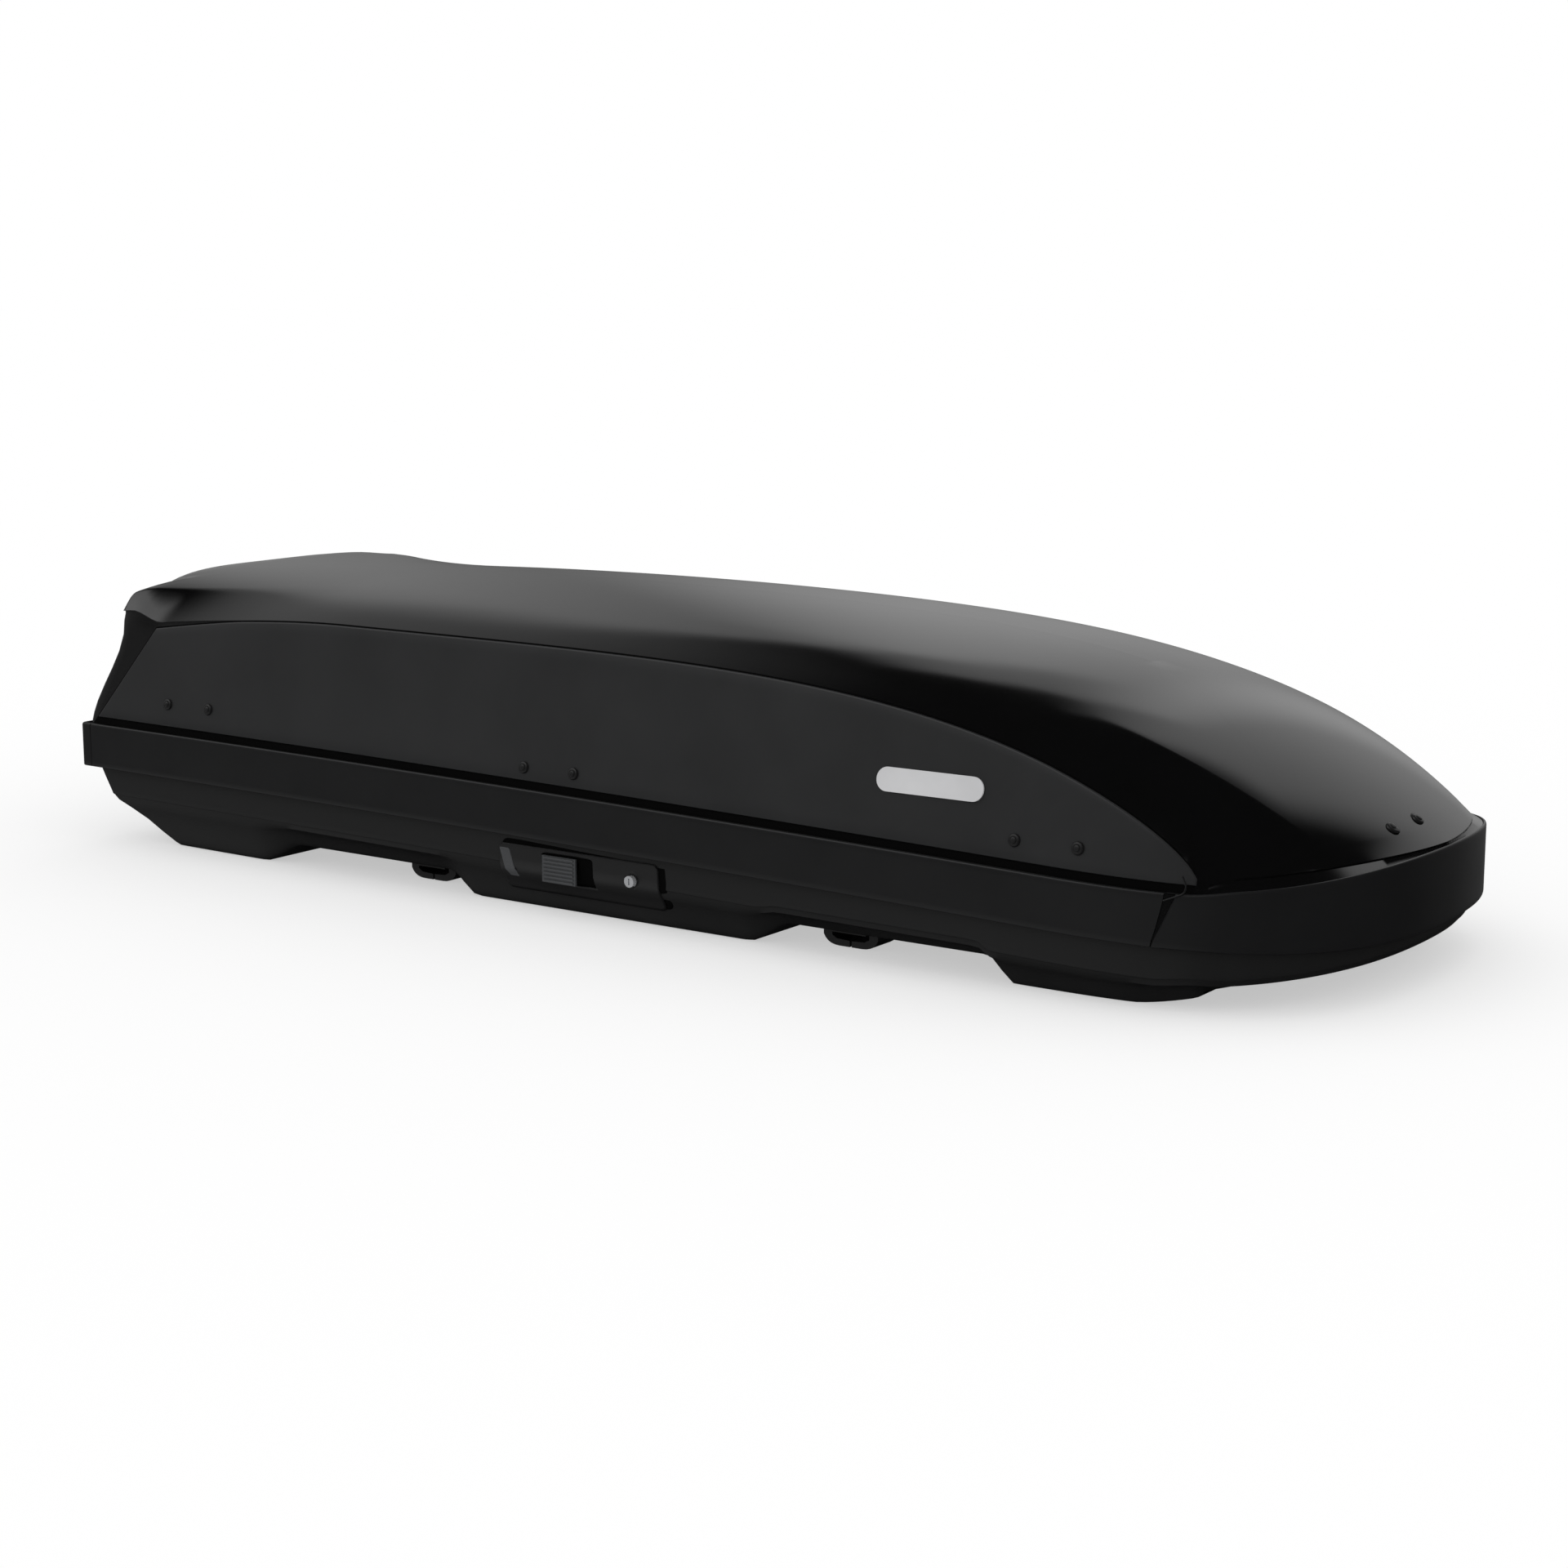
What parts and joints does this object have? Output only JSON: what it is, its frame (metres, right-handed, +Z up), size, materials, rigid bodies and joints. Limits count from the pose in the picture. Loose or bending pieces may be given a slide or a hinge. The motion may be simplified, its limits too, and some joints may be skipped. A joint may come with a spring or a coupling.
{
  "type": "roof cargo box",
  "caption": "Long closed roof box with a glossy arched lid hinged along one long side, a flat tub, a sliding latch with key lock and quick clamps for crossbars.",
  "frame": {"origin": "middle of the length and width, in the plane of the tub's deep feet", "axes": "+X towards the nose, +Y towards the hinge side, +Z up; the opening side is -Y"},
  "size_m": [2, 0.7294, 0.4094],
  "materials": {
    "lid_gloss": "high gloss black",
    "panel_satin": "satin dark grey",
    "trim_matte": "satin black",
    "tub_matte": "matte grained black",
    "seal_rubber": "matte",
    "dark_plastic": "matte",
    "grip_grey": "satin grey",
    "lock_chrome": "bright",
    "badge_silver": "silver satin",
    "steel": "zinc plated"
  },
  "bodies": {
    "base": {"tub": "tub_matte", "rim_seal": "seal_rubber", "hinge_bracket_rear": "steel", "hinge_bracket_middle": "steel", "hinge_bracket_front": "steel", "lock_bar_guide_rear": "dark_plastic", "lock_bar_guide_front": "dark_plastic", "latch_plate": "dark_plastic", "stay_foot_rear": "steel", "stay_foot_front": "steel", "floor_rail_right": "steel", "floor_rail_left": "steel", "clamp_body_rear_right": "dark_plastic", "clamp_body_rear_left": "dark_plastic", "clamp_body_front_right": "dark_plastic", "clamp_body_front_left": "dark_plastic", "clamp_jaw_rear_right": "dark_plastic", "clamp_jaw_rear_left": "dark_plastic", "clamp_jaw_front_right": "dark_plastic", "clamp_jaw_front_left": "dark_plastic"},
    "lid": {"lid_shell": "lid_gloss", "nose_plate": "steel", "side_panel_right": "panel_satin", "side_panel_left": "panel_satin", "rim_trim_right": "trim_matte", "rim_trim_left": "trim_matte", "nose_trim": "trim_matte", "rear_trim": "trim_matte", "badge_right": "badge_silver", "badge_left": "badge_silver", "hinge_arm_rear": "steel", "hinge_arm_middle": "steel", "hinge_arm_front": "steel", "lid_catch_rear": "steel", "lid_catch_middle": "steel", "lid_catch_front": "steel", "stay_head_rear": "steel", "stay_head_front": "steel"},
    "latch_slide": {"latch_slider": "grip_grey", "lock_bar": "steel", "latch_hook_rear": "steel", "latch_hook_middle": "steel", "latch_hook_front": "steel"},
    "lock": {"lock_cylinder": "lock_chrome", "lock_cam": "steel"},
    "stay_tube_rear": {"stay_tube_rear": "dark_plastic"},
    "stay_rod_rear": {"stay_rod_rear": "steel"},
    "stay_tube_front": {"stay_tube_front": "dark_plastic"},
    "stay_rod_front": {"stay_rod_front": "steel"},
    "clamp_knob_rear_right": {"clamp_knob_rear_right": "dark_plastic"},
    "clamp_claw_rear_right": {"clamp_claw_rear_right": "dark_plastic"},
    "clamp_knob_rear_left": {"clamp_knob_rear_left": "dark_plastic"},
    "clamp_claw_rear_left": {"clamp_claw_rear_left": "dark_plastic"},
    "clamp_knob_front_right": {"clamp_knob_front_right": "dark_plastic"},
    "clamp_claw_front_right": {"clamp_claw_front_right": "dark_plastic"},
    "clamp_knob_front_left": {"clamp_knob_front_left": "dark_plastic"},
    "clamp_claw_front_left": {"clamp_claw_front_left": "dark_plastic"}
  },
  "joints": [
    {"name": "lid_hinge", "type": "hinge", "parent": "base", "child": "lid", "pos_m": [0, 0.329, 0.078], "axis": [-1, 0, 0], "range_deg": [0, 45]},
    {"name": "latch_slide", "type": "slide", "parent": "base", "child": "latch_slide", "axis": [1, 0, 0], "range_m": [0, 0.022], "stiffness_N_per_m": 150},
    {"name": "lock_turn", "type": "hinge", "parent": "base", "child": "lock", "pos_m": [0.036, -0.34, 0.066], "axis": [0, 1, 0], "range_deg": [0, 90]},
    {"name": "stay_swing_rear", "type": "hinge", "parent": "base", "child": "stay_tube_rear", "pos_m": [-0.722, 0.12, 0.062], "axis": [-1, 0, 0], "range_deg": [0, 23]},
    {"name": "stay_rod_swing_rear", "type": "hinge", "parent": "lid", "child": "stay_rod_rear", "pos_m": [-0.722, 0.27, 0.27914], "axis": [1, 0, 0], "range_deg": [0, 23]},
    {"name": "stay_swing_front", "type": "hinge", "parent": "base", "child": "stay_tube_front", "pos_m": [0.612, 0.12, 0.062], "axis": [-1, 0, 0], "range_deg": [0, 23]},
    {"name": "stay_rod_swing_front", "type": "hinge", "parent": "lid", "child": "stay_rod_front", "pos_m": [0.612, 0.27, 0.27914], "axis": [1, 0, 0], "range_deg": [0, 23]},
    {"name": "clamp_turn_rear_right", "type": "hinge", "parent": "base", "child": "clamp_knob_rear_right", "pos_m": [-0.378, -0.25, 0.05], "axis": [0, 0, 1], "range_deg": [0, 360]},
    {"name": "clamp_grip_rear_right", "type": "slide", "parent": "base", "child": "clamp_claw_rear_right", "axis": [-1, 0, 0], "range_m": [0, 0.012]},
    {"name": "clamp_turn_rear_left", "type": "hinge", "parent": "base", "child": "clamp_knob_rear_left", "pos_m": [-0.378, 0.25, 0.05], "axis": [0, 0, 1], "range_deg": [0, 360]},
    {"name": "clamp_grip_rear_left", "type": "slide", "parent": "base", "child": "clamp_claw_rear_left", "axis": [-1, 0, 0], "range_m": [0, 0.012]},
    {"name": "clamp_turn_front_right", "type": "hinge", "parent": "base", "child": "clamp_knob_front_right", "pos_m": [0.323, -0.25, 0.05], "axis": [0, 0, 1], "range_deg": [0, 360]},
    {"name": "clamp_grip_front_right", "type": "slide", "parent": "base", "child": "clamp_claw_front_right", "axis": [-1, 0, 0], "range_m": [0, 0.012]},
    {"name": "clamp_turn_front_left", "type": "hinge", "parent": "base", "child": "clamp_knob_front_left", "pos_m": [0.323, 0.25, 0.05], "axis": [0, 0, 1], "range_deg": [0, 360]},
    {"name": "clamp_grip_front_left", "type": "slide", "parent": "base", "child": "clamp_claw_front_left", "axis": [-1, 0, 0], "range_m": [0, 0.012]}
  ],
  "couplings": [
    {"joint": "stay_swing_rear", "follows": "lid_hinge", "ratio": 0.5},
    {"joint": "stay_rod_swing_rear", "follows": "lid_hinge", "ratio": 0.5},
    {"joint": "stay_swing_front", "follows": "lid_hinge", "ratio": 0.5},
    {"joint": "stay_rod_swing_front", "follows": "lid_hinge", "ratio": 0.5},
    {"joint": "clamp_grip_rear_right", "follows": "clamp_turn_rear_right", "m_per_rad": 0.001909},
    {"joint": "clamp_grip_rear_left", "follows": "clamp_turn_rear_left", "m_per_rad": 0.001909},
    {"joint": "clamp_grip_front_right", "follows": "clamp_turn_front_right", "m_per_rad": 0.001909},
    {"joint": "clamp_grip_front_left", "follows": "clamp_turn_front_left", "m_per_rad": 0.001909}
  ]
}
